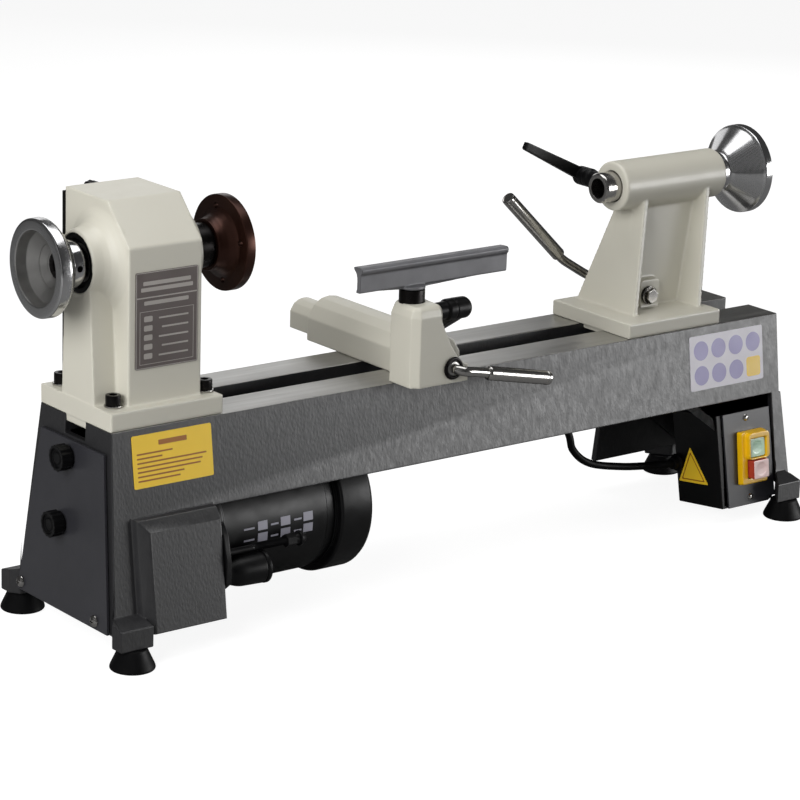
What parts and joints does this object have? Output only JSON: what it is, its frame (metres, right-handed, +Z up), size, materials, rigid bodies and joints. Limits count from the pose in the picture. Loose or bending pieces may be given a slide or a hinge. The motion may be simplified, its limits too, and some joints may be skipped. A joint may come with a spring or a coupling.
{
  "type": "wood lathe",
  "caption": "Bench-top wood lathe: a cast bed on rubber feet carries a belt-driven headstock with faceplate, a banjo with tool rest, a tailstock with quill, a motor below and a switch box.",
  "frame": {"origin": "centre of the bounding box's bottom face, at the level of the bench the rubber feet stand on", "axes": "+X from the headstock towards the tailstock, along the bed; +Y from the turner's side towards the rear; +Z up"},
  "size_m": [0.7746, 0.2346, 0.3639],
  "materials": {
    "bed_paint": "dark grey wrinkle paint",
    "cream_paint": "cream gloss paint on a casting",
    "black_paint": "satin black paint",
    "grey_sheet": "smooth dark grey sheet",
    "polished_steel": "polished",
    "machined_steel": "turned",
    "black_oxide": "black oxide",
    "bronze_plate": "dark brown blued plate",
    "cast_grey": "grey cast iron",
    "alloy": "machined",
    "rubber": "moulded black rubber",
    "black_plastic": "moulded black plastic",
    "yellow_plastic": "yellow moulded plastic",
    "green_plastic": "pale green moulded plastic",
    "red_plastic": "red moulded plastic"
  },
  "bodies": {
    "bed_frame": {"bed": "bed_paint", "foot_front_left": "rubber", "foot_rear_left": "rubber", "foot_front_right": "rubber", "foot_rear_right": "rubber", "headstock": "cream_paint", "headstock_bolt_front_left": "black_oxide", "headstock_bolt_rear_left": "black_oxide", "headstock_bolt_front_right": "black_oxide", "headstock_bolt_rear_right": "black_oxide", "front_bearing": "machined_steel", "rear_bearing": "machined_steel", "door_hinge_pin": "black_oxide", "drive_belt": "rubber", "switch_box": "black_paint", "switch_plate": "grey_sheet", "switch_plate_screw_lower": "polished_steel", "switch_plate_screw_upper": "polished_steel", "switch_housing": "yellow_plastic", "motor_cable": "rubber", "motor_pivot_bolt": "black_oxide"},
    "spindle_assembly": {"spindle": "black_oxide", "spindle_pulley": "alloy", "spindle_handwheel": "alloy", "handwheel_set_screw": "black_oxide", "faceplate": "bronze_plate"},
    "motor": {"motor_plate": "black_paint", "motor_housing": "black_paint", "motor_end_bell": "black_paint", "tension_handle": "black_plastic"},
    "motor_rotor": {"motor_shaft": "machined_steel", "motor_pulley": "alloy"},
    "motor_lock": {"motor_lock_handle": "black_oxide"},
    "belt_door": {"belt_door": "black_paint"},
    "door_knob": {"door_knob": "black_plastic"},
    "end_cover": {"end_cover": "grey_sheet", "cover_screw_front": "polished_steel", "cover_screw_rear": "polished_steel"},
    "cover_knob_upper": {"cover_knob_upper": "black_plastic"},
    "cover_knob_lower": {"cover_knob_lower": "black_plastic"},
    "start_button": {"start_button": "green_plastic"},
    "stop_button": {"stop_button": "red_plastic"},
    "banjo_clamp": {"banjo_clamp_plate": "cast_grey"},
    "banjo_bolt": {"banjo_clamp_bolt": "machined_steel", "banjo_clamp_nut": "black_oxide"},
    "banjo": {"banjo": "cream_paint"},
    "banjo_cam": {"banjo_cam_rod": "machined_steel", "banjo_lever": "polished_steel"},
    "tool_rest_post": {"tool_rest_post": "cast_grey"},
    "tool_rest": {"tool_rest": "cast_grey"},
    "tool_rest_lock": {"tool_rest_lock": "black_plastic"},
    "tailstock": {"tailstock": "cream_paint"},
    "tailstock_clamp": {"tailstock_clamp_plate": "cast_grey", "tailstock_clamp_bolt": "machined_steel"},
    "tailstock_cam": {"tailstock_cam_shaft": "polished_steel", "tailstock_lever": "polished_steel"},
    "quill": {"quill": "polished_steel"},
    "tail_wheel": {"tail_handwheel": "alloy", "quill_screw": "machined_steel"},
    "quill_lock": {"quill_lock_lever": "black_plastic"}
  },
  "joints": [
    {"name": "spindle_spin", "type": "hinge", "parent": "bed_frame", "child": "spindle_assembly", "pos_m": [-0.28995, -0.01465, 0.3139], "axis": [1, 0, 0], "continuous": true},
    {"name": "motor_tension", "type": "hinge", "parent": "bed_frame", "child": "motor", "pos_m": [-0.25495, 0.03535, 0.0804], "axis": [-1, 0, 0], "range_deg": [0, 4], "deforming": ["drive_belt"]},
    {"name": "motor_spin", "type": "hinge", "parent": "motor", "child": "motor_rotor", "pos_m": [-0.28995, -0.01465, 0.0804], "axis": [1, 0, 0], "continuous": true},
    {"name": "motor_lock_turn", "type": "hinge", "parent": "motor", "child": "motor_lock", "pos_m": [-0.21995, -0.08115, 0.0725], "axis": [1, 0, 0], "range_deg": [0, 180]},
    {"name": "belt_door_swing", "type": "hinge", "parent": "bed_frame", "child": "belt_door", "pos_m": [-0.25495, 0.03885, 0.28], "axis": [0, 0, -1], "range_deg": [0, 100]},
    {"name": "door_knob_turn", "type": "hinge", "parent": "belt_door", "child": "door_knob", "pos_m": [-0.29595, 0.04035, 0.3545], "axis": [0, 1, 0], "range_deg": [0, 90]},
    {"name": "end_cover_off", "type": "slide", "parent": "bed_frame", "child": "end_cover", "axis": [-1, 0, 0], "range_m": [0, 0.06]},
    {"name": "cover_knob_upper_turn", "type": "hinge", "parent": "end_cover", "child": "cover_knob_upper", "pos_m": [-0.35595, -0.01265, 0.155], "axis": [1, 0, 0], "continuous": true},
    {"name": "cover_knob_lower_turn", "type": "hinge", "parent": "end_cover", "child": "cover_knob_lower", "pos_m": [-0.35895, -0.00565, 0.098], "axis": [1, 0, 0], "continuous": true},
    {"name": "start_push", "type": "slide", "parent": "bed_frame", "child": "start_button", "axis": [0, 0.9917, -0.1289], "range_m": [0, 0.0025]},
    {"name": "stop_push", "type": "slide", "parent": "bed_frame", "child": "stop_button", "axis": [0, 0.9917, -0.1289], "range_m": [0, 0.003]},
    {"name": "banjo_travel", "type": "slide", "parent": "bed_frame", "child": "banjo_clamp", "axis": [1, 0, 0], "range_m": [-0.08, 0.12]},
    {"name": "banjo_swivel", "type": "hinge", "parent": "banjo_clamp", "child": "banjo_bolt", "pos_m": [-0.02995, -0.01465, 0.2005], "axis": [0, 0, -1], "range_deg": [-15, 60]},
    {"name": "banjo_reach", "type": "slide", "parent": "banjo_bolt", "child": "banjo", "axis": [0, 1, 0], "range_m": [-0.07, 0.02]},
    {"name": "banjo_cam_turn", "type": "hinge", "parent": "banjo", "child": "banjo_cam", "pos_m": [-0.02995, -0.01465, 0.2005], "axis": [0, -1, 0], "range_deg": [0, 90]},
    {"name": "rest_height", "type": "slide", "parent": "banjo", "child": "tool_rest_post", "axis": [0, 0, 1], "range_m": [-0.006, 0.04]},
    {"name": "rest_turn", "type": "hinge", "parent": "tool_rest_post", "child": "tool_rest", "pos_m": [-0.05495, -0.06955, 0.275], "axis": [0, 0, 1], "range_deg": [-60, 60]},
    {"name": "rest_lock_turn", "type": "hinge", "parent": "banjo", "child": "tool_rest_lock", "pos_m": [-0.01495, -0.06955, 0.2434], "axis": [1, 0, 0], "range_deg": [0, 45]},
    {"name": "tailstock_travel", "type": "slide", "parent": "bed_frame", "child": "tailstock", "axis": [1, 0, 0], "range_m": [-0.16, 0.07]},
    {"name": "tail_wheel_turn", "type": "hinge", "parent": "tailstock", "child": "tail_wheel", "pos_m": [0.35005, -0.01465, 0.3139], "axis": [1, 0, 0], "range_deg": [-1260, 3600]},
    {"name": "quill_feed", "type": "slide", "parent": "tailstock", "child": "quill", "axis": [-1, 0, 0], "range_m": [-0.0141, 0.0401]},
    {"name": "quill_lock_turn", "type": "hinge", "parent": "tailstock", "child": "quill_lock", "pos_m": [0.21805, 0.01935, 0.3139], "axis": [0, 1, 0], "range_deg": [0, 60]},
    {"name": "tailstock_cam_turn", "type": "hinge", "parent": "tailstock", "child": "tailstock_cam", "pos_m": [0.24805, -0.01465, 0.2125], "axis": [0, 1, 0], "range_deg": [0, 90]},
    {"name": "tailstock_clamp_drop", "type": "slide", "parent": "tailstock", "child": "tailstock_clamp", "axis": [0, 0, -1], "range_m": [0, 0.00151]}
  ],
  "couplings": [
    {"joint": "motor_spin", "follows": "spindle_spin", "ratio": 1.3333},
    {"joint": "quill_feed", "follows": "tail_wheel_turn", "m_per_rad": 0.00063662},
    {"joint": "tailstock_clamp_drop", "follows": "tailstock_cam_turn", "m_per_rad": 0.000955}
  ]
}
